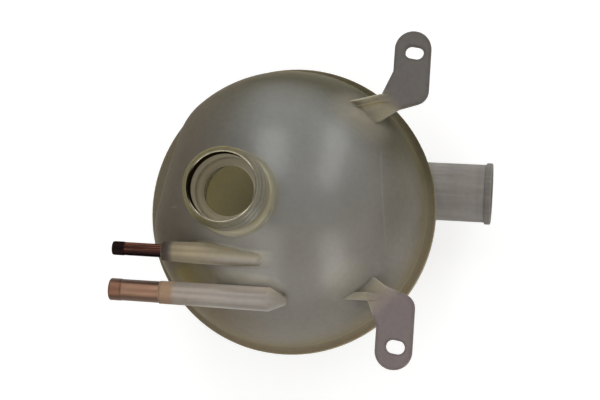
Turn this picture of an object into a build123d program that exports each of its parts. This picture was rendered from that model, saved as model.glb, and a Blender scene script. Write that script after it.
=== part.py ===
from build123d import *
from math import atan2, degrees, sqrt
import os

# Coolant expansion tank: a ball of two welded shells with a filler neck, two
# metal hose pipes, an outlet stub and two slotted fixing ears. The seam lies a
# little below the middle of the ball, which has a flat cheek beside the neck.
# It is drawn round the ball's centre, with +Z along the filler neck, the hose
# pipes pointing to -Y and the outlet stub to +Y. At the end it is shifted so
# that the origin is the slot of the first ear, on the ear's seat face.
# All sizes are in millimetres and degrees.

# Ball; the cheek faces -Y, turned towards -X and leaning back
ball_r = 89.4
wall = 3.0
cheek_depth = 7.2
cheek_blend_r = 45.0
cheek_turn = 11.5
cheek_lean = 17.4

# Weld flange round the seam
seam_drop = 9.0
flange_width = 5.0
flange_t = 3.0
flange_root_r = 3.0
weld_groove = 0.6

# Filler neck: heights are taken from the top of the ball, depths from the mouth
neck_x = 4.2
neck_y = -17.7
neck_height = 31.0
neck_wall_t = 2.45
neck_edge = 0.8
shoulder_height = 2.5
shoulder_step = 1.8
shoulder_round = 3.0
shoulder_root_r = 2.0
ledge_depth = 19.0
ledge_t = 3.0
ledge_width = 4.8
neck_wall_below_ledge = 4.0

# Metal liner pressed into the filler mouth
sleeve_bore_r = 19.8
sleeve_wall = 0.7
sleeve_length = 10.0
sleeve_proud = 0.3
sleeve_edge = 0.25
press_clearance = 0.05

# Vent pipe and its socket, whose axis is sunk under the skin of the ball;
# lengths along it are taken from the mouth of the socket
pipe_spacing = 24.6
vent_sink = 5.1
vent_mouth_inset = 28.2
vent_free_length = 31.0
vent_r = 4.0
vent_pipe_wall = 1.0
vent_bead_length = 7.2
vent_mouth_wall = 1.75
vent_socket_wall = 2.5
vent_taper_length = 22.0
vent_spigot_step = 0.4
vent_insert = 28.0
vent_socket_length = 64.6
vent_bore_length = 55.6

# Return pipe and its socket, whose axis rises over the skin of the ball
return_inset = 25.8
return_rise = 5.3
return_mouth_inset = 27.5
return_free_length = 31.0
return_r = 6.5
return_pipe_wall = 1.0
return_bead_length = 7.1
return_mouth_step = 0.4
return_socket_swell = 0.3
return_spigot_step = 1.3
return_shoulder = 1.2
return_insert = 26.0
return_socket_length = 66.7
return_nose_length = 9.5
return_nose_drop = 4.5
return_nose_r = 2.4
return_port_inset = 56.4
return_port_r = 3.2
return_bore_past_port = 2.0
return_boss_wall = 2.4

# Beads at the free ends of both pipes
bead_height = 0.2
bead_ramp = 0.6

# Fixing ears, mirrored about a plane of constant X; a reach is a distance from it
ear_mid_x = -4.7
ear_top_z = 46.2
ear_t = 3.5
ear_centre_y = 78.0
ear_half_width = 11.3
ear_end_margin = 13.8
ear_edge_round = 1.2
slot_spacing = 181.0
slot_offset_y = 1.1
slot_length = 11.5
slot_width = 8.0
slot_tilt = 8.0
gusset_outer_reach = 78.6
gusset_drop = 6.5
corner_reach = 60.5
corner_round = 9.0
bend_reach = 54.5
bend_drop = 18.0
bend_round = 12.0
tip_reach = 40.0
tip_drop = 39.0
rib_reach = 63.2
rib_root_reach = {-1: 55.5, 1: 65.3}
rib_root_drop = 57.0
rib_t = 4.3
rib_height = 2.5
rib_level_drop = 30.0
rib_end_drop = 19.0
rib_foot_depth = 29.0

# Outlet stub on the lower half
stub_x = -22.0
stub_drop = 30.5
stub_r = 19.3
stub_wall = 3.0
stub_reach_past_ball = 39.0
stub_lip_step = 1.2
stub_lip_length = 4.3
stub_lip_round = 1.0
stub_root_r = 2.0

# Values that follow from the sizes above
inner_r = ball_r - wall
seam_z = -seam_drop
flange_r = ball_r + flange_width
sleeve_r = sleeve_bore_r + sleeve_wall
neck_r = sleeve_r + press_clearance + neck_wall_t
shoulder_r = neck_r + shoulder_step
throat_r = sleeve_bore_r - ledge_width
neck_top_z = ball_r + neck_height
shoulder_top_z = ball_r + shoulder_height
ledge_top_z = neck_top_z - ledge_depth
sleeve_foot_z = neck_top_z - sleeve_length

return_x = ball_r - return_inset
vent_x = return_x - pipe_spacing

vent_z = sqrt((ball_r - vent_sink) ** 2 - vent_x**2)
vent_mouth_y = vent_mouth_inset - ball_r
vent_mouth_r = vent_r + vent_mouth_wall
vent_socket_r = vent_r + vent_socket_wall
vent_spigot_r = vent_r - vent_spigot_step
vent_tip_y = vent_mouth_y - vent_free_length

return_z = sqrt((ball_r + return_rise) ** 2 - return_x**2)
return_mouth_y = return_mouth_inset - ball_r
return_mouth_r = return_r + return_mouth_step
return_socket_r = return_mouth_r + return_socket_swell
return_spigot_r = return_r - return_spigot_step
return_tip_y = return_mouth_y - return_free_length
return_end_y = return_mouth_y + return_socket_length
return_port_y = return_mouth_y + return_port_inset
return_boss_r = return_port_r + return_boss_wall

ear_seat_z = ear_top_z - ear_t
ear_near_y = ear_centre_y - ear_half_width
ear_far_y = ear_centre_y + ear_half_width
slot_reach = slot_spacing / 2
slot_y = ear_centre_y + slot_offset_y
ear_reach = slot_reach + ear_end_margin
first_slot_x = ear_mid_x - slot_reach
gusset_inner_y = ear_near_y - gusset_drop
rib_root_y = ear_far_y - rib_root_drop

stub_z = seam_z - stub_drop
stub_end_y = ball_r + stub_reach_past_ball
stub_lip_r = stub_r + stub_lip_step


def turned(profile):
    """Turn a closed profile, drawn as (radius, height), about Z."""
    return revolve(Plane.XZ * profile, Axis.Z)


def along_y(x, y, z):
    """Where a turned piece goes whose own axis is to run to +Y from (x, y, z)."""
    return Pos(x, y, z) * Rot(-90, 0, 0)


def upright(x, y, radius, low_z, high_z):
    """A round bar standing on z = low_z."""
    bar = Cylinder(radius, high_z - low_z, align=(Align.CENTER, Align.CENTER, Align.MIN))
    return Pos(x, y, low_z) * bar


def joined(body, piece, root_r):
    """Fuse a piece to the body and round the corner where they meet."""
    whole = body + piece
    return fillet(new_edges(body, piece, combined=whole), root_r)


def ball(inset):
    """The ball with its flat cheek, made smaller by an inset all round."""
    skin_r = ball_r - inset
    flat = ball_r - cheek_depth - inset
    blend_r = cheek_blend_r - inset
    blend_height = flat - blend_r
    blend_reach = sqrt((skin_r - blend_r) ** 2 - blend_height**2)
    blend_angle = degrees(atan2(blend_height, blend_reach))
    profile = [
        Line((0, -skin_r), (0, flat)),
        Line((0, flat), (blend_reach, flat)),
        CenterArc((blend_reach, blend_height), blend_r, blend_angle, 90 - blend_angle),
        CenterArc((0, 0), skin_r, -90, blend_angle + 90),
    ]
    return Rot(0, 0, -cheek_turn) * Rot(90 - cheek_lean, 0, 0) * turned(make_face(profile))


def half_ball(side):
    """Solid part of the ball above (1) or below (-1) the seam, with its flange, before it is hollowed."""
    half = split(ball(0), Plane.XY.offset(seam_z), Keep.TOP if side > 0 else Keep.BOTTOM)
    section = Polygon(
        (0, 0),
        (flange_r - weld_groove, 0),
        (flange_r, side * weld_groove),
        (flange_r, side * flange_t),
        (0, side * flange_t),
        align=None,
    )
    return joined(half, Pos(0, 0, seam_z) * turned(section), flange_root_r)


def neck_shoulder():
    """Wider round base of the filler neck."""
    shoulder = upright(neck_x, neck_y, shoulder_r, inner_r / 2, shoulder_top_z)
    return fillet(shoulder.edges().sort_by(Axis.Z)[-1], shoulder_round)


def neck_wall():
    """Outside of the filler neck, up to its chamfered mouth."""
    neck = upright(neck_x, neck_y, neck_r, inner_r / 2, neck_top_z)
    return chamfer(neck.edges().sort_by(Axis.Z)[-1], neck_edge)


def neck_bores():
    """Space inside the neck: liner seat, bore, throat and the room under the ledge."""
    seat_r = sleeve_r + press_clearance
    top = neck_top_z + sleeve_proud
    seat = upright(neck_x, neck_y, seat_r, sleeve_foot_z, top)
    bore = upright(neck_x, neck_y, sleeve_bore_r, ledge_top_z, top)
    throat = upright(neck_x, neck_y, throat_r, 0, top)
    below = upright(neck_x, neck_y, neck_r - neck_wall_below_ledge, 0, ledge_top_z - ledge_t)
    return seat + bore + throat + below


def vent_socket():
    """Tapered plastic tube with a round end, for the vent pipe."""
    round_y = vent_socket_length - vent_socket_r
    outline = Polyline(
        (0, vent_socket_length),
        (0, 0),
        (vent_mouth_r, 0),
        (vent_socket_r, vent_taper_length),
        (vent_socket_r, round_y),
    )
    end = CenterArc((0, round_y), vent_socket_r, 0, 90)
    return along_y(vent_x, vent_mouth_y, vent_z) * turned(make_face([outline, end]))


def vent_bores():
    """Seat of the vent pipe's spigot and the bore that runs on into the ball."""
    seat_r = vent_spigot_r + press_clearance
    bore_r = vent_r - vent_pipe_wall
    outline = Polygon(
        (0, 0),
        (seat_r, 0),
        (seat_r, vent_insert),
        (bore_r, vent_insert),
        (bore_r, vent_bore_length),
        (0, vent_bore_length),
        align=None,
    )
    return along_y(vent_x, vent_mouth_y, vent_z) * turned(outline)


def return_socket():
    """Tapered plastic tube for the return pipe, with a drooping nose and a boss to the ball."""
    outline = Polygon(
        (0, 0),
        (return_mouth_r, 0),
        (return_socket_r, return_socket_length),
        (0, return_socket_length),
        align=None,
    )
    tube = along_y(return_x, return_mouth_y, return_z) * turned(outline)
    nose_y = return_end_y + return_nose_length
    nose_root = along_y(return_x, return_end_y, return_z) * Circle(return_socket_r)
    nose_tip = along_y(return_x, nose_y, return_z - return_nose_drop) * Circle(return_nose_r)
    nose = loft([nose_root.face(), nose_tip.face()])
    nose = fillet(nose.edges().sort_by(Axis.Y)[-1], return_nose_r / 2)
    boss = upright(return_x, return_port_y, return_boss_r, inner_r / 2, return_z)
    return tube + nose + boss


def return_bores():
    """Seat of the return pipe's spigot, its bore and the port down into the ball."""
    seat_r = return_spigot_r + press_clearance
    bore_r = return_spigot_r - return_pipe_wall
    end = return_port_inset + return_port_r + return_bore_past_port
    outline = Polygon(
        (0, 0),
        (seat_r, 0),
        (seat_r, return_insert),
        (bore_r, return_insert),
        (bore_r, end),
        (0, end),
        align=None,
    )
    bore = along_y(return_x, return_mouth_y, return_z) * turned(outline)
    port = upright(return_x, return_port_y, return_port_r, inner_r / 2, return_z)
    return bore + port


def ear_x(side, reach):
    """X of a point of the ear on one side (-1 or 1), from its reach."""
    return ear_mid_x + side * reach


def ear_rib(side):
    """Upright rib along the ear's inner edge, from the ball out to the flat of the ear."""
    end_y = ear_far_y - rib_end_drop
    level_y = ear_far_y - rib_level_drop
    top_z = ear_top_z + rib_height
    foot_z = ear_top_z - rib_foot_depth
    outer = [(rib_reach, end_y), (rib_reach, gusset_inner_y), (rib_root_reach[side], rib_root_y)]
    inner = [(reach - rib_t, y) for reach, y in reversed(outer)]
    plan = make_face(Polyline(*[(ear_x(side, reach), y) for reach, y in outer + inner], close=True))
    elevation = Polygon(
        (rib_root_y, top_z),
        (level_y, top_z),
        (end_y, ear_top_z - ear_edge_round),
        (end_y, ear_seat_z),
        (level_y, foot_z),
        (rib_root_y, foot_z),
        align=None,
    )
    outline = extrude(Plane.YZ * elevation, ear_reach + abs(ear_mid_x), both=True)
    return extrude(plan, top_z) & outline


def ear(side):
    """Flat fixing ear with a round end, a gusset and a rib that runs back onto the ball."""
    round_x = ear_x(side, ear_reach - ear_half_width)
    corner = (ear_x(side, corner_reach), ear_far_y)
    bend = (ear_x(side, bend_reach), ear_far_y - bend_drop)
    outline = Polyline(
        (round_x, ear_near_y),
        (ear_x(side, gusset_outer_reach), ear_near_y),
        (ear_x(side, rib_reach), gusset_inner_y),
        (ear_x(side, rib_root_reach[side]), rib_root_y),
        (ear_x(side, tip_reach), ear_far_y - tip_drop),
        bend,
        corner,
        (round_x, ear_far_y),
        close=True,
    )
    face = make_face(outline)
    face = fillet(face.vertices().sort_by_distance(corner)[0], corner_round)
    face = fillet(face.vertices().sort_by_distance(bend)[0], bend_round)
    face = face + Pos(round_x, ear_centre_y) * Circle(ear_half_width)
    plate = Pos(0, 0, ear_seat_z) * extrude(face, ear_t)
    plate = fillet(plate.faces().sort_by(Axis.Z)[-1].edges(), ear_edge_round)
    return plate + ear_rib(side)


def ear_slot(side):
    """Slot through one ear."""
    slot = extrude(SlotOverall(slot_length, slot_width), ear_t, both=True)
    return Pos(ear_x(side, slot_reach), slot_y, ear_top_z) * Rot(0, 0, 90 - slot_tilt) * slot


def make_upper_shell():
    """Upper moulding: dome, flange, neck, hose sockets and ears."""
    body = joined(half_ball(1), neck_shoulder(), shoulder_root_r)
    body = body + neck_wall() + vent_socket() + return_socket() + ear(-1) + ear(1)
    body = body - ball(wall) - neck_bores() - vent_bores() - return_bores()
    return body - ear_slot(-1) - ear_slot(1)


def make_lower_shell():
    """Lower moulding: bowl, flange and outlet stub with a lip for the hose."""
    outline = Polygon(
        (0, 0),
        (stub_r, 0),
        (stub_r, stub_end_y - stub_lip_length),
        (stub_lip_r, stub_end_y - stub_lip_length),
        (stub_lip_r, stub_end_y),
        (0, stub_end_y),
        align=None,
    )
    stub = turned(outline)
    lip_edges = stub.edges().filter_by(GeomType.CIRCLE).filter_by(lambda edge: edge.radius > stub_r)
    stub = along_y(stub_x, 0, stub_z) * fillet(lip_edges, stub_lip_round)
    bowl = joined(half_ball(-1), stub, stub_root_r)
    bore_length = stub_end_y + stub_lip_length
    bore = Cylinder(stub_r - stub_wall, bore_length, align=(Align.CENTER, Align.CENTER, Align.MIN))
    return bowl - ball(wall) - along_y(stub_x, 0, stub_z) * bore


def make_neck_sleeve():
    """Thin metal ring that lines the filler mouth and stands a little proud."""
    length = sleeve_length + sleeve_proud
    wall_section = Pos(sleeve_bore_r, 0) * Rectangle(sleeve_wall, length, align=Align.MIN)
    rim = wall_section.vertices().sort_by(Axis.Y)[-2:]
    return Pos(neck_x, neck_y, sleeve_foot_z) * turned(chamfer(rim, sleeve_edge))


def make_vent_pipe():
    """Straight thin pipe with a slight bead, turned down to a spigot that goes into its socket."""
    end = vent_free_length + vent_insert
    bore_r = vent_r - vent_pipe_wall
    outline = Polygon(
        (bore_r, 0),
        (vent_r, 0),
        (vent_r + bead_height, bead_ramp),
        (vent_r + bead_height, vent_bead_length - bead_ramp),
        (vent_r, vent_bead_length),
        (vent_r, vent_free_length),
        (vent_spigot_r, vent_free_length),
        (vent_spigot_r, end),
        (bore_r, end),
        align=None,
    )
    return along_y(vent_x, vent_tip_y, vent_z) * turned(outline)


def make_return_pipe():
    """Wider pipe with a bead, necked down to a spigot that goes into its socket."""
    shoulder = return_free_length - return_shoulder
    end = return_free_length + return_insert
    bore_r = return_r - return_pipe_wall
    spigot_bore_r = return_spigot_r - return_pipe_wall
    outline = Polygon(
        (bore_r, 0),
        (return_r, 0),
        (return_r + bead_height, bead_ramp),
        (return_r + bead_height, return_bead_length - bead_ramp),
        (return_r, return_bead_length),
        (return_r, return_free_length),
        (return_spigot_r, return_free_length),
        (return_spigot_r, end),
        (spigot_bore_r, end),
        (spigot_bore_r, shoulder),
        (bore_r, shoulder - return_pipe_wall),
        align=None,
    )
    return along_y(return_x, return_tip_y, return_z) * turned(outline)


parts = {
    "upper_shell": make_upper_shell(),
    "lower_shell": make_lower_shell(),
    "neck_sleeve": make_neck_sleeve(),
    "vent_pipe": make_vent_pipe(),
    "return_pipe": make_return_pipe(),
}

os.makedirs("parts", exist_ok=True)
to_first_slot = Pos(-first_slot_x, -slot_y, -ear_seat_z)
for name, part in parts.items():
    export_step(to_first_slot * part, f"parts/{name}.step")
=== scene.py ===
"""Looks, stage and camera for a ball-shaped plastic coolant expansion tank."""

import math

import bmesh
import bpy
from mathutils import Matrix, Vector


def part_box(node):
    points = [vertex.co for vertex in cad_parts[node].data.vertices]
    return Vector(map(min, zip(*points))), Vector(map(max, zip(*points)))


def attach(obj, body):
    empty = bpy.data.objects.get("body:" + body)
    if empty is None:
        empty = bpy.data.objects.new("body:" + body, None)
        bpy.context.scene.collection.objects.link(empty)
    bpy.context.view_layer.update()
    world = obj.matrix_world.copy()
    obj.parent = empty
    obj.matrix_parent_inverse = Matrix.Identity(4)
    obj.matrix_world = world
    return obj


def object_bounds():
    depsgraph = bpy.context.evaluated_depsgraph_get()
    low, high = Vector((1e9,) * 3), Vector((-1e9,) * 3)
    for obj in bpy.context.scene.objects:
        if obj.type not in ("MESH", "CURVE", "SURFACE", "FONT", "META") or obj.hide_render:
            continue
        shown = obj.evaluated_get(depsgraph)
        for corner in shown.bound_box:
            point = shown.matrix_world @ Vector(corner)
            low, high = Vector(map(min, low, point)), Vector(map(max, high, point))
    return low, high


bl_info = {
    "name": "Coolant Expansion Tank",
    "version": (1, 0, 0),
    "blender": (4, 5, 0),
    "location": "3D View > Sidebar > Tank",
    "description": "Finishes, neck thread, weld bead, stage and camera of a coolant expansion tank",
    "category": "Object",
}

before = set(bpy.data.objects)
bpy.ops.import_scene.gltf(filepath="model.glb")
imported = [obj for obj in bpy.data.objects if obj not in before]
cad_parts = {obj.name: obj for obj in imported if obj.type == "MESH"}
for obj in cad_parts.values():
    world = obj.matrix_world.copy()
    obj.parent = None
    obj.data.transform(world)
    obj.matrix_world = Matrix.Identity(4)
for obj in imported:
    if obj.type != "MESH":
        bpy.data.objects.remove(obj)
CAD_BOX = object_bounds()


def half_width(node):
    """Half of a CAD node's width along X: the radius of a round piece."""
    low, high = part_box(node)
    return (high.x - low.x) / 2


def middle(node):
    """Centre of a CAD node's box."""
    low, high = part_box(node)
    return (low + high) / 2


# The ball's centre lies this far above the seam
BALL_RISE = 0.009

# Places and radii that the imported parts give, in metres. NECK and what follows it is measured from the
# ball's centre, the rest in the shared frame
FLANGE_R = half_width("lower_shell")
BOWL_LOW, BOWL_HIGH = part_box("lower_shell")
SEAM = Vector((BOWL_LOW.x + FLANGE_R, BOWL_LOW.y + FLANGE_R, BOWL_HIGH.z))
BALL = SEAM + Vector((0, 0, BALL_RISE))
BALL_R = BALL.z - BOWL_LOW.z
NECK = middle("neck_sleeve") - BALL
LINER_R = half_width("neck_sleeve")
MOUTH_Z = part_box("neck_sleeve")[1].z - BALL.z
VENT = middle("vent_pipe") - BALL
VENT_TIP_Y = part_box("vent_pipe")[0].y - BALL.y
RETURN = middle("return_pipe") - BALL
RETURN_TIP_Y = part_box("return_pipe")[0].y - BALL.y


def colour(name, description, default):
    """A colour that a user may change."""
    return bpy.props.FloatVectorProperty(
        name=name, description=description, subtype="COLOR", size=3, min=0, max=1, default=default
    )


def share(name, description, default, highest=1.0):
    """A plain number that a user may change."""
    return bpy.props.FloatProperty(name=name, description=description, min=0, max=highest, default=default)


def length(name, description, default):
    """A size in metres that a user may change."""
    return bpy.props.FloatProperty(
        name=name, description=description, unit="LENGTH", precision=5, default=default
    )


def angle(name, description, default):
    """An angle that a user may change."""
    return bpy.props.FloatProperty(
        name=name, description=description, subtype="ANGLE", default=math.radians(default)
    )


class TankFinish(bpy.types.PropertyGroup):
    """Colours and gloss of the plastic and the metal, many of them holding painted light and shade."""

    milky: colour("Milky plastic", "Aged natural plastic on top of the ball", (0.212, 0.211, 0.188))
    warm: colour("Warm plastic", "Warmer plastic on the near side of the ball", (0.222, 0.196, 0.154))
    # Far flank plastic is painted shade: the ball's far sides are darkened where less light falls.
    flank: colour(
        "Far flank plastic", "Duller plastic on the far side of the ball", (0.114, 0.106, 0.076)
    )
    # Near flank plastic is painted light: the near side's lower flank is painted paler.
    lit_low_flank: colour(
        "Near flank plastic", "Paler plastic on the near side of the ball", (0.258, 0.232, 0.195)
    )
    brown: colour("Brown plastic", "Browner plastic low under the hose sockets", (0.192, 0.155, 0.108))
    # Rim and flange: yellowed plastic in a shaded far copy and a lit near copy; the near flange is painted
    # lighter where it lies in the ball's shade.
    shaded_far_rim: colour("Far rim plastic", "Yellowed plastic next to the weld flange", (0.110, 0.091, 0.046))
    lit_near_rim: colour(
        "Near rim plastic",
        "Yellowed plastic next to the weld flange on the near side",
        (0.196, 0.163, 0.098),
    )
    flange: colour("Far flange plastic", "Yellowed plastic of the weld flange", (0.145, 0.127, 0.078))
    lit_near_flange: colour(
        "Near flange plastic",
        "Yellowed plastic of the weld flange on the near side",
        (0.305, 0.254, 0.170),
    )
    # Cheek plastic is painted shade: the dark cheek beside the neck, also laid on the right side of the
    # ball, where less light falls.
    cheek: colour(
        "Cheek plastic", "Dull brown plastic of the cheek beside the neck", (0.138, 0.117, 0.090)
    )
    bowl: colour("Bowl plastic", "Plastic low in the bowl", (0.226, 0.210, 0.205))
    back: colour(
        "Back plastic", "Plastic low on the far and left sides of the ball", (0.228, 0.198, 0.140)
    )
    bowl_skin: colour("Bowl skin", "Outside of the bowl", (0.325, 0.296, 0.245))
    neck: colour("Neck plastic", "Yellowed plastic of the filler neck", (0.165, 0.146, 0.078))
    # Throat plastic is painted light: the neck's inside, the wall below the ledge and the lower liner bore
    # are painted paler than their shade.
    painted_throat_light: colour("Throat plastic", "Cleaner plastic inside the filler neck", (0.460, 0.408, 0.292))
    # Nook plastic is painted light: it lifts the shade between the hose sockets, above the return socket's
    # nose, on the shoulder below the neck, under the far rib and at its foot.
    painted_nook_light: colour(
        "Nook plastic",
        "Paler plastic between the hose sockets, below the neck and at the far rib",
        (0.420, 0.370, 0.265),
    )
    # Stain is painted shade: the olive-brown between the hose sockets where shade falls.
    stain_and_shading: colour(
        "Stain", "Brown stain between the hose sockets near their mouths", (0.275, 0.216, 0.100)
    )
    # Far and near ear plate colours are painted shade: greyer to stand in for the dark ground seen through
    # the thin plates.
    far_plate_shade: colour("Far ear plastic", "Greyer plastic of the far ear", (0.176, 0.162, 0.150))
    near_plate_shade: colour("Near ear plastic", "Greyer plastic of the near ear", (0.250, 0.210, 0.205))
    # Root plastic is partly the thicker plastic's tone and partly painted light: a glow round the ear
    # roots that lifts their shade, in a lighter copy on the near ear.
    root: colour(
        "Root plastic", "Thicker plastic where ears and ribs join the ball", (0.275, 0.246, 0.184)
    )
    chalky: colour(
        "Return socket plastic", "Whiter plastic of the return socket", (0.424, 0.368, 0.316)
    )
    creamy: colour("Vent socket plastic", "Yellower plastic of the vent socket", (0.446, 0.382, 0.262))
    # Socket shade is painted shade down the near side of the hose sockets.
    shade: colour(
        "Socket shade", "Duller plastic on the near side of the hose sockets", (0.185, 0.156, 0.112)
    )
    stub: colour("Stub plastic", "Plastic of the outlet stub", (0.340, 0.318, 0.292))
    scuff: colour("Scuffs", "Pale scuffs and the line that the mould left", (0.260, 0.250, 0.215))
    # Grime: a real spot of dirt on the ledge, and painted shade along the ears' rounded edges.
    grime_and_edge_shade: colour("Grime", "Dirt on the ledge and on the ears' edges", (0.030, 0.024, 0.016))
    vent_ring: colour("Vent collar", "Plastic that the dark pipe shows through", (0.115, 0.094, 0.080))
    return_ring: colour(
        "Return collar", "Plastic that the copper pipe shows through", (0.430, 0.295, 0.200)
    )
    liner: colour("Liner metal", "Bright edge of the neck's liner", (0.620, 0.560, 0.410))
    # Liner bore is painted shade: the dark crescent in the liner's bore.
    bore_shade: colour("Liner bore", "Tarnish in the liner's bore", (0.012, 0.008, 0.003))
    dark_copper: colour("Dark copper", "Darkened copper of the vent pipe", (0.052, 0.022, 0.0155))
    # Black bead: the blackened bead, and painted shade on the vent pipe's underside.
    black_bead_and_shade: colour("Black bead", "Blackened bead of the vent pipe", (0.012, 0.0068, 0.0068))
    satin_copper: colour("Satin copper", "Dull copper of the return pipe", (0.345, 0.200, 0.132))
    bead_copper: colour("Bead copper", "Redder copper of the return pipe's bead", (0.240, 0.118, 0.074))
    clear_scatter: length("Clear scatter", "How far light travels in the clear plastic of the ball", 0.028)
    dense_scatter: length("Dense scatter", "How far light travels in the thick or yellowed plastic", 0.003)
    plastic_gloss: share("Plastic roughness", "Roughness of the plastic's skin", 0.29)
    translucency: share("Translucency", "How much light scatters inside the plastic", 1.0)


class NeckThread(bpy.types.PropertyGroup):
    """Coarse thread round the outside of the filler neck."""

    neck_wall: length("Neck wall", "Plastic outside the liner", 0.0025)
    pitch: length("Pitch", "Height between two turns", 0.0080)
    depth: length("Depth of start", "How far below the mouth the thread starts", 0.0032)
    rise: length("Ridge height", "How far the ridge stands out of the neck", 0.0012)
    foot: length("Foot width", "Width of the ridge at the neck", 0.0036)
    crest: length("Crest width", "Width of the ridge at its top", 0.0014)
    turns: share("Turns", "Number of turns", 1.7, 6.0)
    start: angle("Start", "Direction in which the thread starts", 150.0)


class WeldBead(bpy.types.PropertyGroup):
    """Thin bead of plastic that the welding pressed out of the seam."""

    radius: length("Radius", "Radius of the bead's section", 0.00042)
    wander: length("Wander", "How much the bead swells and shrinks", 0.00010)


class StudioStage(bpy.types.PropertyGroup):
    """Floor, lamps and camera."""

    floor: colour("Floor", "Pale floor", (0.60, 0.60, 0.59))
    floor_lift: share("Floor lift", "Light added to the floor where it is seen, so that it is white", 0.60)
    horizon: share("Horizon", "Brightness of the room near the horizon", 0.25, 4.0)
    ceiling: share("Ceiling", "Brightness of the room overhead", 0.70, 4.0)
    lamp: share("Lamps", "Power of each soft lamp", 1.05, 100.0)
    lamp_distance: length("Lamp distance", "From the ball to each lamp", 0.85)
    lens: share("Lens", "Focal length on a 36 mm wide sensor", 78.57, 300.0)
    roll: angle("Roll", "Turn of the camera about its own axis", 3.0)


class Field:
    """A socket in a node tree. Arithmetic on it adds Math nodes."""

    def __init__(self, tree, socket=None):
        self.tree = tree
        self.socket = socket

    def node(self, kind, settings=None, sockets=None, output=0):
        """Add a node, its settings first and then its sockets' values or links, and give one output."""
        made = self.tree.nodes.new(kind)
        for name, value in (settings or {}).items():
            setattr(made, name, value)
        for key, value in (sockets or {}).items():
            if isinstance(value, Field):
                self.tree.links.new(value.socket, made.inputs[key])
            else:
                made.inputs[key].default_value = value
        return Field(self.tree, made.outputs[output] if made.outputs else None)

    def output(self, key):
        """Another output of the same node."""
        return Field(self.tree, self.socket.node.outputs[key])

    def math(self, operation, first, second):
        """One Math node on two values."""
        return self.node("ShaderNodeMath", {"operation": operation}, {0: first, 1: second})

    def __add__(self, other):
        return self.math("ADD", self, other)

    __radd__ = __add__

    def __sub__(self, other):
        return self.math("SUBTRACT", self, other)

    def __rsub__(self, other):
        return self.math("SUBTRACT", other, self)

    def __mul__(self, other):
        return self.math("MULTIPLY", self, other)

    __rmul__ = __mul__

    def __abs__(self):
        return self.node("ShaderNodeMath", {"operation": "ABSOLUTE"}, {0: self})

    def most(self, other):
        """The greater of two values."""
        return self.math("MAXIMUM", self, other)

    def ramp(self, low, high):
        """0 at low and 1 at high, with a smooth run between them; low may be the greater."""
        return self.node(
            "ShaderNodeMapRange",
            {"interpolation_type": "SMOOTHSTEP"},
            {"Value": self, "From Min": low, "From Max": high},
        )

    def mix(self, first, second):
        """The first colour where this value is 0 and the second where it is 1."""
        return self.node("ShaderNodeMix", {"data_type": "RGBA"}, {0: self, 6: first, 7: second}, 2)

    def vector(self, operation, other, output=0):
        """Vector maths with another vector."""
        return self.node("ShaderNodeVectorMath", {"operation": operation}, {0: self, 1: other}, output)

    def distance(self):
        """Distance of a place from the origin."""
        return self.vector("LENGTH", (0, 0, 0), 1)

    def along(self, direction):
        """How far a place lies in a direction."""
        return self.vector("DOT_PRODUCT", direction, 1)

    def xyz(self):
        """The three parts of a vector."""
        x = self.node("ShaderNodeSeparateXYZ", None, {0: self})
        return x, x.output(1), x.output(2)

    def noise(self, scale, detail=2.0, roughness=0.5):
        """Cloudy noise at this place."""
        sockets = {"Vector": self, "Scale": scale, "Detail": detail, "Roughness": roughness}
        return self.node("ShaderNodeTexNoise", None, sockets)

    def away(self, first, second):
        """Distance from a line along the third axis, from the two offsets across it."""
        return self.node("ShaderNodeCombineXYZ", None, {0: first, 1: second}).distance()

    def corner(self, radius):
        """Normals that round the edges off."""
        return self.node("ShaderNodeBevel", {"samples": 4}, {"Radius": radius})

    def bump(self, height, distance, strength, normal=None):
        """A normal bent by a height, starting from another normal where one is given."""
        sockets = {"Height": height, "Distance": distance, "Strength": strength}
        if normal:
            sockets["Normal"] = normal
        return self.node("ShaderNodeBump", None, sockets)


# Heights above or below the seam between which the plastic yellows
RIM_BAND = (0.044, 0.006)

# Distances from the ball's centre between which an ear's root turns into its plate
EAR_ROOT_END, EAR_PLATE_START = 0.098, 0.108

# The line that the mould left across the ball: its y where x is 0, and its slope
MOULD_LINE_Y, MOULD_LINE_SLOPE = 0.0672, 0.115

# Dull band round the end of the outlet stub
STUB_BAND_Y = 0.1216

# Directions: to the cheek, to the side that shows, from the neck to that side, and across the far rib
CHEEK = (-0.190, -0.935, 0.299)
SHOWN_SIDE = (0.40, 0.92, 0.0)
NECK_SHOWN_SIDE = (0.556, 0.831, 0.0)
RIB_ACROSS = (0.964, 0.266, 0.0)

# How far the far rib's near wall lies in the direction across the rib
RIB_WALL = -0.0453

# Patches on the plastic: centre, from the ball's centre, reach along each axis, and how much they show
# Painted light in the nook between the hose sockets and above the return socket's nose.
NOOK_LIGHT = (RETURN.x - 0.011, -0.014, 0.062), (0.012, 0.026, 0.020), 1.0
NOSE_LIGHT = (RETURN.x - 0.007, -0.002, 0.067), (0.010, 0.019, 0.016), 0.95
# Painted shade between the hose sockets near their mouths.
SOCKET_GAP_SHADE = (RETURN.x - 0.011, -0.048, 0.056), (0.013, 0.028, 0.026), 1.0
# Painted shade on the right side of the ball, in the cheek's colour.
RIGHT_SIDE_SHADE = (0.0, 0.062, 0.064), (0.050, 0.030, 0.040), 0.35
# Painted light on the shoulder below the neck.
NECK_APRON_LIGHT = (0.0235, -0.018, 0.085), (0.017, 0.030, 0.019), 0.4
# Painted glow round the roots of the far and near ears.
FAR_JOINT_GLOW = (-0.055, 0.050, 0.050), (0.028, 0.026, 0.030), 0.8
NEAR_JOINT_GLOW = (0.046, 0.045, 0.056), (0.020, 0.020, 0.026), 0.8
# Painted light in the shade under the far rib.
UNDER_RIB_LIGHT = (-0.054, 0.050, 0.050), (0.009, 0.014, 0.012), 0.35
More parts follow.
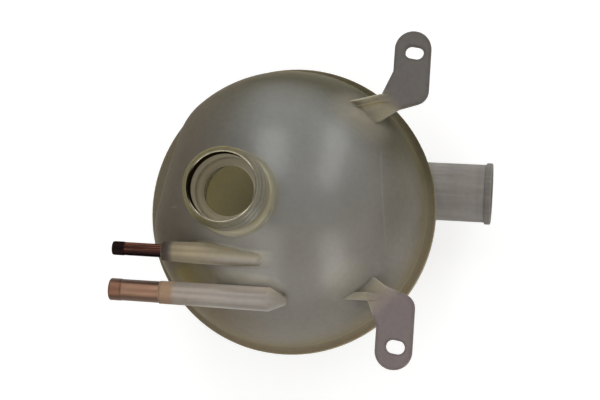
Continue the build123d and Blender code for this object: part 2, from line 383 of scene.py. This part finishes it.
# Painted shade on the far rib's bright tip.
RIB_TIP_SHADE = (-0.061, 0.043, 0.048), (0.006, 0.010, 0.010), 1.0
SCUFF = (0.0111, -0.0593, 0.0659), (0.0009, 0.0050, 0.0050), 0.25
LEDGE_SPOT = (0.0180, -0.0326, 0.1014), (0.0014, 0.0014, 0.0020), 0.8

BLACK = (0, 0, 0, 1)
WHITE = (1, 1, 1, 1)

# Edges that turn by more than this are drawn as creases
CREASE = math.radians(50)

# Half of the floor's width
FLOOR_REACH = 6.0


def rgba(rgb, level=1.0):
    """A colour property as a socket takes it, made lighter or darker by a factor."""
    return (*(channel * level for channel in rgb), 1.0)


def new_material(name):
    """An empty material and the field that adds its nodes."""
    material = bpy.data.materials.new(name)
    material.use_nodes = True
    material.node_tree.nodes.clear()
    return material, Field(material.node_tree)


def surface(tree, sockets):
    """End a material in one shader."""
    shader = tree.node("ShaderNodeBsdfPrincipled", None, sockets)
    tree.node("ShaderNodeOutputMaterial", None, {"Surface": shader})


def place_on_tank(tree):
    """Position on the tank, from the centre of the ball."""
    position = tree.node("ShaderNodeTexCoord").output("Object")
    return position.vector("SUBTRACT", BALL)


def dress(node, material):
    """Give a CAD node its material."""
    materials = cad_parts[node].data.materials
    materials.clear()
    materials.append(material)


def new_piece(name, bm, material):
    """A mesh object that rides with the tank."""
    mesh = bpy.data.meshes.new(name)
    bmesh.ops.recalc_face_normals(bm, faces=bm.faces)
    bm.to_mesh(mesh)
    bm.free()
    mesh.shade_smooth()
    mesh.set_sharp_from_angle(angle=CREASE)
    mesh.materials.append(material)
    piece = bpy.data.objects.new(name, mesh)
    bpy.context.scene.collection.objects.link(piece)
    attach(piece, "root")
    return piece


def near(place, patch):
    """How much of a patch shows: most in its middle, falling to 0 at its reach."""
    centre, reach, strength = patch
    away = place.vector("SUBTRACT", centre).vector("DIVIDE", reach).distance()
    return away.ramp(1.0, 0.3) * strength


def ball_tone(finish, place, clouds):
    """Colour of the ball: milky on top, yellowed at the rim, painted shade on the far sides, cheek, right
    side and between the sockets, painted light on the near side and in the nooks.
    """
    x, y, z = place.xyz()
    above_seam = abs(z + BALL_RISE)
    near_side = (x + (clouds - 0.5) * 0.08).ramp(-0.045, 0.045)
    low_side = y.ramp(0.010, -0.040).mix(rgba(finish.lit_low_flank), rgba(finish.brown))
    top = near_side.mix(rgba(finish.milky), rgba(finish.warm))
    side = near_side.mix(rgba(finish.flank), low_side)
    # Rim and flange in shaded far and lit near copies.
    rim = near_side.mix(rgba(finish.shaded_far_rim), rgba(finish.lit_near_rim))
    flange = near_side.mix(rgba(finish.flange), rgba(finish.lit_near_flange))
    # Painted shade down the far sides, painted light down the near side.
    painted_side_shading = z.ramp(0.086, 0.044)
    # Painted shade on the cheek beside the neck.
    cheek_shade = place.along(CHEEK).ramp(0.035, 0.082)
    yellowed = above_seam.ramp(*RIM_BAND) * (x.ramp(-0.088, -0.040) * 0.65 + 0.35)
    on_flange = place.away(x, y).ramp(BALL_R - 0.002, BALL_R + 0.002) * above_seam.ramp(0.012, 0.006)
    tone = painted_side_shading.mix(top, side)
    tone = cheek_shade.mix(tone, rgba(finish.cheek))
    tone = yellowed.mix(tone, rim)
    tone = on_flange.mix(tone, flange)
    # Painted light in the nook between the hose sockets and above the return socket's nose.
    tone = near(place, NOOK_LIGHT).mix(tone, rgba(finish.painted_nook_light))
    tone = near(place, NOSE_LIGHT).mix(tone, rgba(finish.painted_nook_light, 1.25))
    # Painted shade on the right side of the ball.
    tone = near(place, RIGHT_SIDE_SHADE).mix(tone, rgba(finish.cheek))
    # Painted shade between the hose sockets.
    return near(place, SOCKET_GAP_SHADE).mix(tone, rgba(finish.stain_and_shading))


def hidden_tone(finish, place, tone):
    """The ball's colour made plain low on its far and left sides, low inside it and outside the bowl."""
    z = place.xyz()[2]
    behind = place.along(SHOWN_SIDE).ramp(0.020, -0.060) * z.ramp(0.048, 0.014)
    low_inside = z.ramp(-0.040, -0.060)
    bowl_skin = place.distance().ramp(BALL_R - 0.0020, BALL_R - 0.0010) * z.ramp(-0.0095, -0.0120)
    near_seam = abs(z + BALL_RISE).ramp(*RIM_BAND) * 0.7
    tone = behind.mix(tone, rgba(finish.back))
    tone = low_inside.mix(tone, rgba(finish.bowl))
    return bowl_skin.mix(tone, near_seam.mix(rgba(finish.bowl_skin), rgba(finish.back)))


def neck_tone(finish, place, tone):
    """The tone changed on the filler neck: yellowed outside, with painted light in the throat, on the
    shoulder below the neck and on the shaded wall below the ledge.
    """
    from_axis = place.vector("SUBTRACT", (NECK.x, NECK.y, 0.0))
    x, y, z = from_axis.xyz()
    from_neck = place.away(x, y)
    neck = from_neck.ramp(0.0290, 0.0255) * z.ramp(0.082, 0.091)
    foot = z.ramp(0.101, 0.091)
    behind = from_axis.along(NECK_SHOWN_SIDE).ramp(0.004, -0.010)
    inside = from_neck.ramp(LINER_R + 0.0012, LINER_R - 0.0005)
    below_ledge_light = from_neck.ramp(0.0240, 0.0205) * z.ramp(0.0970, 0.0940) * z.ramp(0.070, 0.080)
    outer = foot.most(behind).mix(rgba(finish.neck), rgba(finish.neck, 1.5))
    # Painted light inside the throat.
    tone = neck.mix(tone, inside.mix(outer, rgba(finish.painted_throat_light)))
    # Painted light on the shoulder below the neck.
    tone = near(place, NECK_APRON_LIGHT).mix(tone, rgba(finish.painted_nook_light))
    # Painted light on the shaded wall below the ledge.
    return below_ledge_light.mix(tone, rgba(finish.painted_throat_light, 1.6))


def on_ears(place):
    """1 on the part of the tank that carries the ears, with the ball beside them."""
    y, z = place.xyz()[1:]
    return y.ramp(0.020, 0.030) * z.ramp(0.010, 0.016)


def ear_tone(finish, place, tone):
    """The tone changed on the ears: roots and arms in the root colour with a painted glow round the roots,
    painted light under the far rib, and plates greyed with painted shade.
    """
    x = place.xyz()[0]
    from_centre = place.distance()
    ear = on_ears(place)
    near_ear = x.ramp(-0.02, 0.02)
    # Root and arm colours: partly thicker plastic, partly painted light, lighter on the near ear.
    root = near_ear.mix(rgba(finish.root), rgba(finish.root, 1.15))
    arm = near_ear.mix(rgba(finish.root, 0.92), rgba(finish.root))
    # The plates greyed with painted shade for the dark ground seen through them.
    plate = near_ear.mix(rgba(finish.far_plate_shade), rgba(finish.near_plate_shade))
    joint_glow = near(place, FAR_JOINT_GLOW).most(near(place, NEAR_JOINT_GLOW))
    under_rib_light = near(place, UNDER_RIB_LIGHT) * from_centre.ramp(BALL_R + 0.0012, BALL_R + 0.0002)
    on_arm = ear * from_centre.ramp(BALL_R + 0.0005, BALL_R + 0.006)
    on_plate = ear * (from_centre + near_ear * 0.005).ramp(EAR_ROOT_END, EAR_PLATE_START)
    # Painted glow round the ear roots.
    tone = joint_glow.mix(tone, root)
    # Painted light in the shade under the far rib.
    tone = under_rib_light.mix(tone, rgba(finish.painted_nook_light))
    tone = on_arm.mix(tone, arm)
    tone = far_rib_tone(finish, place, tone)
    return on_plate.mix(tone, plate)


def far_rib_tone(finish, place, tone):
    """The tone changed on the far ear's rib: painted shade on its lit top and at its tip, painted light in
    the shade at its foot.
    """
    x, y = place.xyz()[:2]
    from_centre = place.distance()
    across = place.along(RIB_ACROSS) - RIB_WALL
    top = across.ramp(0.0001, -0.0005)
    foot = across.ramp(-0.0003, 0.0002) * across.ramp(0.0048, 0.0014)
    rib = on_ears(place) * x.ramp(-0.045, -0.050) * y.ramp(0.066, 0.058)
    rib = rib * from_centre.ramp(BALL_R, BALL_R + 0.0008)
    tip_shade = near(place, RIB_TIP_SHADE) * from_centre.ramp(BALL_R + 0.0001, BALL_R + 0.0007)
    # Painted shade on the rib's top, painted light at its foot and painted shade at its tip.
    tone = (rib * top).mix(tone, rgba(finish.root, 0.68))
    tone = (rib * foot).mix(tone, rgba(finish.painted_nook_light, 0.85))
    return (tip_shade * top).mix(tone, rgba(finish.root, 0.42))


def stub_tone(finish, place, tone, streaks):
    """The tone changed on the outlet stub: paler at its root, streaky, and dull at its lip."""
    y, z = place.xyz()[1:]
    stub = y.ramp(0.078, 0.092) * z.ramp(-0.013, -0.018)
    root = y.ramp(0.104, 0.090)
    streaky = streaks.ramp(0.35, 0.70) * 0.30
    band = abs(y - STUB_BAND_Y).ramp(0.0034, 0.0022) * 0.15
    lip = y.ramp(STUB_BAND_Y + 0.0015, STUB_BAND_Y + 0.0035) * 0.60
    pale = root.mix(rgba(finish.stub), rgba(finish.stub, 1.25))
    return stub.mix(tone, (streaky + band + lip).mix(pale, rgba(finish.stub, 0.55)))


def socket_tone(finish, tint, across, y, streaks):
    """Colour of a hose socket: two painted highlights along its top, random streaks, painted shade down
    its near side, toward its nose and on its far side by the mouth, and painted light on its far side by
    the nose.
    """
    nose = y.ramp(-0.055, -0.008)
    # Real streaks, and painted shade toward the nose.
    dull = streaks * 0.5 + nose * 0.4
    # Two painted highlights along the top.
    from_line = abs(abs(across + 0.0004) - 0.0020)
    line = from_line.ramp(0.0017, 0.0004) * (1.0 - nose * 0.8) * 0.6
    # Painted shade on the far side by the mouth, painted light there by the nose.
    far_side_shading = across.ramp(-0.0020, -0.0060)
    # Painted shade down the near side.
    near_side_shade = across.ramp(0.0004, 0.0066) * (nose * 0.5 + 0.5)
    far_side = nose.mix(rgba(tint, 0.75), rgba(tint, 1.25))
    tone = dull.mix(rgba(tint), rgba(tint, 0.72))
    tone = line.mix(tone, rgba(tint, 1.30))
    tone = far_side_shading.mix(tone, far_side)
    return near_side_shade.mix(tone, rgba(finish.shade))


def sockets_tone(finish, place, tone, streaks):
    """The tone changed on both hose sockets, with the pipes showing through their mouths."""
    x, y, z = place.xyz()
    on_vent = place.away(x - VENT.x, z - VENT.z).ramp(0.0085, 0.0064) * y.ramp(0.010, -0.004)
    on_return = place.away(x - RETURN.x, z - RETURN.z).ramp(0.0094, 0.0071) * y.ramp(0.015, -0.002)
    vent_shows = y.ramp(-0.0515, -0.0578).most(y.ramp(-0.040, -0.054) * 0.3)
    return_shows = y.ramp(-0.0515, -0.0550)
    vent_end = y.ramp(-0.0570, -0.0592)
    # Painted shade on the near side of the return collar.
    return_near_shade = (x - RETURN.x).ramp(0.0010, 0.0070)
    vent_ring = vent_end.mix(rgba(finish.vent_ring), rgba(finish.vent_ring, 0.8))
    return_ring = return_near_shade.mix(rgba(finish.return_ring), rgba(finish.return_ring, 0.6))
    tone = on_vent.mix(tone, socket_tone(finish, finish.creamy, x - VENT.x, y, streaks))
    tone = on_return.mix(tone, socket_tone(finish, finish.chalky, x - RETURN.x, y, streaks))
    tone = (on_vent * vent_shows).mix(tone, vent_ring)
    return (on_return * return_shows).mix(tone, return_ring)


def worn_tone(finish, place, tone, edge):
    """The mould's faint line between the ears, a scuff by the neck, painted shade along the ear plates'
    rounded edges and a spot of dirt.
    """
    x, y, z = place.xyz()
    from_centre = place.distance()
    skin = from_centre.ramp(BALL_R + 0.0010, BALL_R + 0.0002)
    line = abs(y - MOULD_LINE_SLOPE * x - MOULD_LINE_Y).ramp(0.0007, 0.0002)
    line = line * abs(x).ramp(0.036, 0.026) * z.ramp(0.030, 0.038) * skin * 0.30
    # Painted shade along the ear plates' rounded edges.
    plate_edge_shade = edge * from_centre.ramp(0.102, 0.106) * z.ramp(0.030, 0.040) * 0.45
    tone = line.mix(tone, rgba(finish.scuff))
    tone = near(place, SCUFF).mix(tone, rgba(finish.scuff))
    tone = near(place, LEDGE_SPOT).mix(tone, rgba(finish.grime_and_edge_shade))
    return plate_edge_shade.mix(tone, rgba(finish.grime_and_edge_shade))


def thick_plastic(place):
    """1 where the plastic is thick or yellowed, and 0 where light travels far in it."""
    x, y, z = place.xyz()
    from_centre = place.distance()
    root = on_ears(place) * from_centre.ramp(EAR_PLATE_START, EAR_ROOT_END)
    outside = from_centre.ramp(BALL_R, BALL_R + 0.002) - root * 0.8
    hole = place.away(x - NECK.x, y - NECK.y).ramp(0.0220, 0.0198) * z.ramp(0.0985, 0.0960)
    rim = abs(z + BALL_RISE).ramp(0.020, 0.008)
    return (outside - hole).most(rim)


def milky_plastic(finish):
    """Translucent moulded plastic, dense and yellowed at the rim, clear and glossy on top of the ball, its
    colour holding painted light and shade.
    """
    material, tree = new_material("milky_plastic")
    place = place_on_tank(tree)
    clouds = place.noise(22.0, 3.0)
    waves = place.noise(34.0, 1.5)
    grain = place.noise(300.0, 3.0, 0.6)
    streaks = place.vector("MULTIPLY", (240.0, 22.0, 240.0)).noise(1.0, 2.0, 0.6)
    face = tree.node("ShaderNodeNewGeometry").output("Normal")
    edge = tree.corner(0.0030).along(face).ramp(0.995, 0.90)
    tone = ball_tone(finish, place, clouds)
    tone = hidden_tone(finish, place, tone)
    tone = neck_tone(finish, place, tone)
    tone = ear_tone(finish, place, tone)
    tone = stub_tone(finish, place, tone, streaks)
    tone = sockets_tone(finish, place, tone, streaks)
    tone = worn_tone(finish, place, tone, edge)
    mottle = {"data_type": "RGBA", "blend_type": "SOFT_LIGHT"}
    tone = tree.node("ShaderNodeMix", mottle, {0: 0.15, 6: tone, 7: grain}, 2)
    sheen = place.xyz()[2].ramp(0.045, 0.075) * place.along(CHEEK).ramp(0.060, 0.030)
    height = waves * 0.8 + grain * 0.03
    skin = {
        "Base Color": tone,
        "Roughness": 0.5,
        "Specular IOR Level": 0.0,
        "Coat Weight": sheen * 0.9,
        "Coat Roughness": finish.plastic_gloss,
        "Coat IOR": 1.8,
        "Subsurface Weight": finish.translucency,
        "Subsurface Radius": (1.0, 0.9, 0.6),
        "Normal": tree.bump(height, 0.0012, 0.30, tree.corner(0.0012)),
    }
    clear, dense = (
        tree.node("ShaderNodeBsdfPrincipled", None, {**skin, "Subsurface Scale": scatter})
        for scatter in (finish.clear_scatter, finish.dense_scatter)
    )
    mixed = tree.node("ShaderNodeMixShader", None, {0: thick_plastic(place), 1: clear, 2: dense})
    tree.node("ShaderNodeOutputMaterial", None, {"Surface": mixed})
    return material


def liner_metal(finish):
    """Bright turned edge with painted highlights on its near and far sides, and a bore painted dark as
    shade high up and pale as lit plastic lower down.
    """
    material, tree = new_material("bright_liner")
    place = place_on_tank(tree)
    x, y, z = place.xyz()
    side = tree.away(x - NECK.x, y - NECK.y)
    bore = side.ramp(LINER_R - 0.00030, LINER_R - 0.00055) * z.ramp(MOUTH_Z - 0.0003, MOUTH_Z - 0.0008)
    stain_and_shading = place.noise(240.0, 4.0, 0.65)
    # Painted highlights on the near and far sides of the edge, patchy with stains.
    painted_rim_highlight = abs(x - NECK.x).ramp(0.006, 0.017) * stain_and_shading.ramp(0.85, 0.35)
    # Painted shade: elsewhere the edge is a darkened copy of the liner, darkest on its side toward -Y.
    bore_side_shade = (y - NECK.y).ramp(-0.002, -0.018)
    dull = bore_side_shade.mix(rgba(finish.liner, 0.30), rgba(finish.bore_shade))
    bright = painted_rim_highlight.mix(dull, rgba(finish.liner))
    # Painted shade high in the bore, painted light on a plastic-coloured band below it.
    below_liner = z.ramp(MOUTH_Z - 0.0072, MOUTH_Z - 0.0092)
    bore_shade_and_light = below_liner.mix(rgba(finish.bore_shade), rgba(finish.painted_throat_light))
    surface(tree, {
        "Base Color": bore.mix(bright, bore_shade_and_light),
        "Metallic": 1.0 - bore,
        "Roughness": 0.20 + stain_and_shading * 0.14 + bore * 0.4,
        "Specular IOR Level": 0.0,
        "Normal": tree.bump(place.noise(1600.0, 2.0), 0.0002, 0.15),
    })
    return material


def dark_copper(finish):
    """Darkened shiny copper with bright streaks along it painted as highlights, its underside painted
    black as shade, and a blackened bead.
    """
    material, tree = new_material("dark_copper")
    place = place_on_tank(tree)
    x, y = place.xyz()[:2]
    stain_and_shading = place.vector("MULTIPLY", (900.0, 30.0, 900.0)).noise(1.0, 3.0, 0.6)
    bead = y.ramp(VENT_TIP_Y + 0.0085, VENT_TIP_Y + 0.0070)
    # Painted shade on the pipe's underside.
    under = (x - VENT.x).ramp(0.0004, 0.0020) * 0.95
    # Bright streaks painted as highlights along the pipe.
    streaky = stain_and_shading.ramp(0.45, 0.68)
    copper = streaky.mix(rgba(finish.dark_copper), rgba(finish.dark_copper, 4.5))
    copper = under.mix(copper, rgba(finish.black_bead_and_shade))
    surface(tree, {
        "Base Color": bead.mix(copper, rgba(finish.black_bead_and_shade)),
        "Metallic": 0.9,
        "Specular Tint": (0.40, 0.28, 0.24, 1.0),
        "Roughness": 0.18 + stain_and_shading * 0.16 + bead * 0.10,
        "Normal": tree.bump(stain_and_shading, 0.0003, 0.12),
    })
    return material


def satin_copper(finish):
    """Dull copper with painted shade down its upper and lower edges, at the bead's foot and at its open
    end, so that it shows brighter along its top.
    """
    material, tree = new_material("satin_copper")
    place = place_on_tank(tree)
    x, y, z = place.xyz()
    stain_and_shading = place.vector("MULTIPLY", (420.0, 40.0, 420.0)).noise(1.0, 3.0, 0.6)
    bead_foot = abs(y - RETURN_TIP_Y - 0.0075).ramp(0.0010, 0.0003)
    bead = y.ramp(RETURN_TIP_Y + 0.0080, RETURN_TIP_Y + 0.0072)
    end = y.ramp(RETURN_TIP_Y + 0.0016, RETURN_TIP_Y + 0.0004)
    # Painted shade down the pipe's upper and lower edges, at the bead's foot and at its open end.
    edge_shade = (z - RETURN.z - (x - RETURN.x) * 0.04).ramp(0.0064, 0.0048)
    edge_shade = edge_shade.most(bead_foot * 0.6).most(end * 0.6) * 0.85
    streaky = stain_and_shading.ramp(0.30, 0.75)
    copper = streaky.mix(rgba(finish.satin_copper), rgba(finish.satin_copper, 0.78))
    copper = bead.mix(copper, rgba(finish.bead_copper))
    surface(tree, {
        "Base Color": edge_shade.mix(copper, rgba(finish.satin_copper, 0.22)),
        "Metallic": 0.85,
        "Roughness": 0.34 + stain_and_shading * 0.16,
        "Normal": tree.bump(stain_and_shading, 0.0003, 0.15),
    })
    return material


def ring_sections(bm, sections, closed):
    """Skin a row of equal sections into a tube, joined end to end or capped."""
    rows = [[bm.verts.new(point) for point in section] for section in sections]
    count = len(rows[0])
    pairs = list(zip(rows, rows[1:]))
    if closed:
        pairs.append((rows[-1], rows[0]))
    else:
        bm.faces.new(rows[0])
        bm.faces.new(rows[-1])
    for one, two in pairs:
        for k in range(count):
            bm.faces.new((one[k], one[(k + 1) % count], two[(k + 1) % count], two[k]))


class TANK_OT_shells(bpy.types.Operator):
    """Finish both plastic halves"""

    bl_idname = "tank.shells"
    bl_label = "Finish Plastic Halves"

    def execute(self, context):
        plastic = milky_plastic(context.scene.tank_finish)
        dress("upper_shell", plastic)
        dress("lower_shell", plastic)
        return {"FINISHED"}


class TANK_OT_weld(bpy.types.Operator):
    """Lay the thin weld bead round the seam of the flange"""

    bl_idname = "tank.weld"
    bl_label = "Lay Weld Bead"

    def execute(self, context):
        weld = context.scene.tank_weld
        steps, sides = 360, 8
        sections = []
        for i in range(steps):
            turn = math.tau * i / steps
            swell = math.sin(7 * turn) + math.sin(19 * turn + 1.0) + math.sin(43 * turn + 2.0)
            radius = weld.radius + weld.wander * swell / 3
            reach = FLANGE_R - weld.radius
            section = []
            for k in range(sides):
                way = math.tau * k / sides
                out = reach + radius * math.cos(way)
                up = radius * math.sin(way)
                section.append(SEAM + Vector((out * math.cos(turn), out * math.sin(turn), up)))
            sections.append(section)
        bm = bmesh.new()
        ring_sections(bm, sections, True)
        new_piece("weld_bead", bm, bpy.data.materials["milky_plastic"])
        return {"FINISHED"}


class TANK_OT_thread(bpy.types.Operator):
    """Wind the cap's thread round the filler neck"""

    bl_idname = "tank.thread"
    bl_label = "Wind Neck Thread"

    def execute(self, context):
        thread = context.scene.tank_thread
        sunk = thread.rise / 4
        foot_r = LINER_R + thread.neck_wall - sunk
        shoulder = thread.crest / 2 + thread.rise * 0.12
        per_turn = 96
        steps = round(per_turn * thread.turns)
        run_out = per_turn / 8
        sections = []
        for i in range(steps + 1):
            turn = thread.start - math.tau * i / per_turn
            z = MOUTH_Z - thread.depth - thread.pitch * i / per_turn
            grown = min(1.0, i / run_out, (steps - i) / run_out)
            rise = (thread.rise + sunk) * math.sin(grown * math.pi / 2)
            profile = [
                (foot_r, -thread.foot / 2),
                (foot_r + rise * 0.8, -shoulder),
                (foot_r + rise, -thread.crest / 4),
                (foot_r + rise, thread.crest / 4),
                (foot_r + rise * 0.8, shoulder),
                (foot_r, thread.foot / 2),
            ]
            centre = BALL + Vector((NECK.x, NECK.y, z))
            sections.append([
                centre + Vector((r * math.cos(turn), r * math.sin(turn), up)) for r, up in profile
            ])
        bm = bmesh.new()
        ring_sections(bm, sections, False)
        new_piece("neck_thread", bm, bpy.data.materials["milky_plastic"])
        return {"FINISHED"}


class TANK_OT_liner(bpy.types.Operator):
    """Finish the metal liner in the filler mouth"""

    bl_idname = "tank.liner"
    bl_label = "Finish Neck Liner"

    def execute(self, context):
        dress("neck_sleeve", liner_metal(context.scene.tank_finish))
        return {"FINISHED"}


class TANK_OT_pipes(bpy.types.Operator):
    """Finish the two hose pipes"""

    bl_idname = "tank.pipes"
    bl_label = "Finish Hose Pipes"

    def execute(self, context):
        finish = context.scene.tank_finish
        dress("vent_pipe", dark_copper(finish))
        dress("return_pipe", satin_copper(finish))
        return {"FINISHED"}


# Soft lamps: direction from the ball, width and height as shares of their distance, turn in degrees
# about that direction, and share of the power
LAMPS = {
    "lamp_far_left": ((-0.59, -0.13, 0.80), 0.36, 0.75, 0, 1.05),
    "lamp_far_right": ((-0.60, 0.57, 0.55), 0.28, 1.00, 37, 1.00),
    "lamp_near_left": ((0.70, -0.13, 0.70), 0.38, 0.85, 0, 0.80),
    "lamp_near_right": ((0.66, 0.65, 0.38), 0.30, 0.85, -28, 0.85),
}

# Camera, from the middle of the seam
CAMERA_PLACE = Vector((0.10453, 0.15643, 0.84208))
CAMERA_AIM = Vector((-0.00725, 0.00468, 0.0))


class TANK_OT_stage(bpy.types.Operator):
    """Lay the floor, light the room and place the camera"""

    bl_idname = "tank.stage"
    bl_label = "Set Stage"

    def execute(self, context):
        stage = context.scene.tank_stage
        self.floor(context, stage)
        self.room(context, stage)
        for name, lamp in LAMPS.items():
            self.lamp(context, stage, name, *lamp)
        self.camera(context, stage)
        context.scene.view_settings.view_transform = "Standard"
        return {"FINISHED"}

    def floor(self, context, stage):
        """A wide pale floor that reads as white and keeps the tank's shadow."""
        material, tree = new_material("pale_floor")
        rays = tree.node("ShaderNodeLightPath")
        seen = rays.output("Is Camera Ray").most(rays.output("Is Glossy Ray"))
        seen = seen.most(rays.output("Is Transmission Ray"))
        surface(tree, {
            "Base Color": rgba(stage.floor),
            "Roughness": 0.9,
            "Emission Color": seen.mix(BLACK, WHITE),
            "Emission Strength": stage.floor_lift,
        })
        bm = bmesh.new()
        bmesh.ops.create_grid(bm, x_segments=1, y_segments=1, size=FLOOR_REACH)
        mesh = bpy.data.meshes.new("floor")
        bm.to_mesh(mesh)
        bm.free()
        mesh.materials.append(material)
        floor = bpy.data.objects.new("floor", mesh)
        floor.location = (BALL.x, BALL.y, CAD_BOX[0].z)
        context.scene.collection.objects.link(floor)

    def room(self, context, stage):
        """Soft light from all round, brighter overhead."""
        world = bpy.data.worlds.new("room")
        world.use_nodes = True
        world.node_tree.nodes.clear()
        tree = Field(world.node_tree)
        up = tree.node("ShaderNodeTexCoord").output("Generated").xyz()[2]
        rays = tree.node("ShaderNodeLightPath")
        overhead = up.ramp(0.15, 0.85)
        seen = rays.output("Is Camera Ray").most(rays.output("Is Transmission Ray"))
        seen = seen.most(rays.output("Is Glossy Ray") * (1 - overhead))
        light = overhead.mix(rgba([stage.horizon] * 3), rgba([stage.ceiling] * 3))
        background = tree.node("ShaderNodeBackground", None, {"Color": seen.mix(light, WHITE)})
        tree.node("ShaderNodeOutputWorld", None, {"Surface": background})
        context.scene.world = world

    def lamp(self, context, stage, name, direction, width, height, turn, power):
        """One soft lamp that faces the ball."""
        direction = Vector(direction).normalized()
        data = bpy.data.lights.new(name, "AREA")
        data.shape = "RECTANGLE"
        data.size = width * stage.lamp_distance
        data.size_y = height * stage.lamp_distance
        data.energy = stage.lamp * power
        lamp = bpy.data.objects.new(name, data)
        lamp.location = BALL + direction * stage.lamp_distance
        facing = direction.to_track_quat("Z", "Y").to_matrix()
        lamp.rotation_euler = (facing @ Matrix.Rotation(math.radians(turn), 3, "Z")).to_euler()
        lamp.visible_camera = False
        context.scene.collection.objects.link(lamp)

    def camera(self, context, stage):
        """The photograph's view: almost straight down the filler neck."""
        back = (CAMERA_PLACE - CAMERA_AIM).normalized()
        right = Vector((0, 1, 0))
        right = (right - right.dot(back) * back).normalized()
        right = Matrix.Rotation(stage.roll, 3, back) @ right
        up = back.cross(right)
        data = bpy.data.cameras.new("camera")
        data.sensor_width = 36.0
        data.lens = stage.lens
        data.clip_start, data.clip_end = 0.01, 50.0
        camera = bpy.data.objects.new("camera", data)
        turn = Matrix((right, up, back)).transposed().to_4x4()
        camera.matrix_world = Matrix.Translation(SEAM + CAMERA_PLACE) @ turn
        context.scene.collection.objects.link(camera)
        context.scene.camera = camera


class TANK_PT_sidebar(bpy.types.Panel):
    """Steps and settings of the tank"""

    bl_idname = "TANK_PT_sidebar"
    bl_label = "Expansion Tank"
    bl_space_type = "VIEW_3D"
    bl_region_type = "UI"
    bl_category = "Tank"

    def draw(self, context):
        layout = self.layout
        for step in STEPS:
            layout.operator(step.bl_idname)
        for group in SETTINGS:
            box = layout.box()
            settings = getattr(context.scene, group)
            for name in settings.__annotations__:
                box.prop(settings, name)


SETTINGS = {
    "tank_finish": TankFinish,
    "tank_thread": NeckThread,
    "tank_weld": WeldBead,
    "tank_stage": StudioStage,
}
STEPS = (TANK_OT_shells, TANK_OT_weld, TANK_OT_thread, TANK_OT_liner, TANK_OT_pipes, TANK_OT_stage)
CLASSES = (*SETTINGS.values(), *STEPS, TANK_PT_sidebar)


def register():
    """Add the settings, the steps and the panel to Blender."""
    for cls in CLASSES:
        bpy.utils.register_class(cls)
    for name, group in SETTINGS.items():
        setattr(bpy.types.Scene, name, bpy.props.PointerProperty(type=group))


def unregister():
    """Take the settings, the steps and the panel out again."""
    for name in SETTINGS:
        delattr(bpy.types.Scene, name)
    for cls in reversed(CLASSES):
        bpy.utils.unregister_class(cls)


def main():
    """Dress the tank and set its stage."""
    register()
    bpy.ops.tank.shells()
    bpy.ops.tank.weld()
    bpy.ops.tank.thread()
    bpy.ops.tank.liner()
    bpy.ops.tank.pipes()
    bpy.ops.tank.stage()


if __name__ == "__main__":
    main()
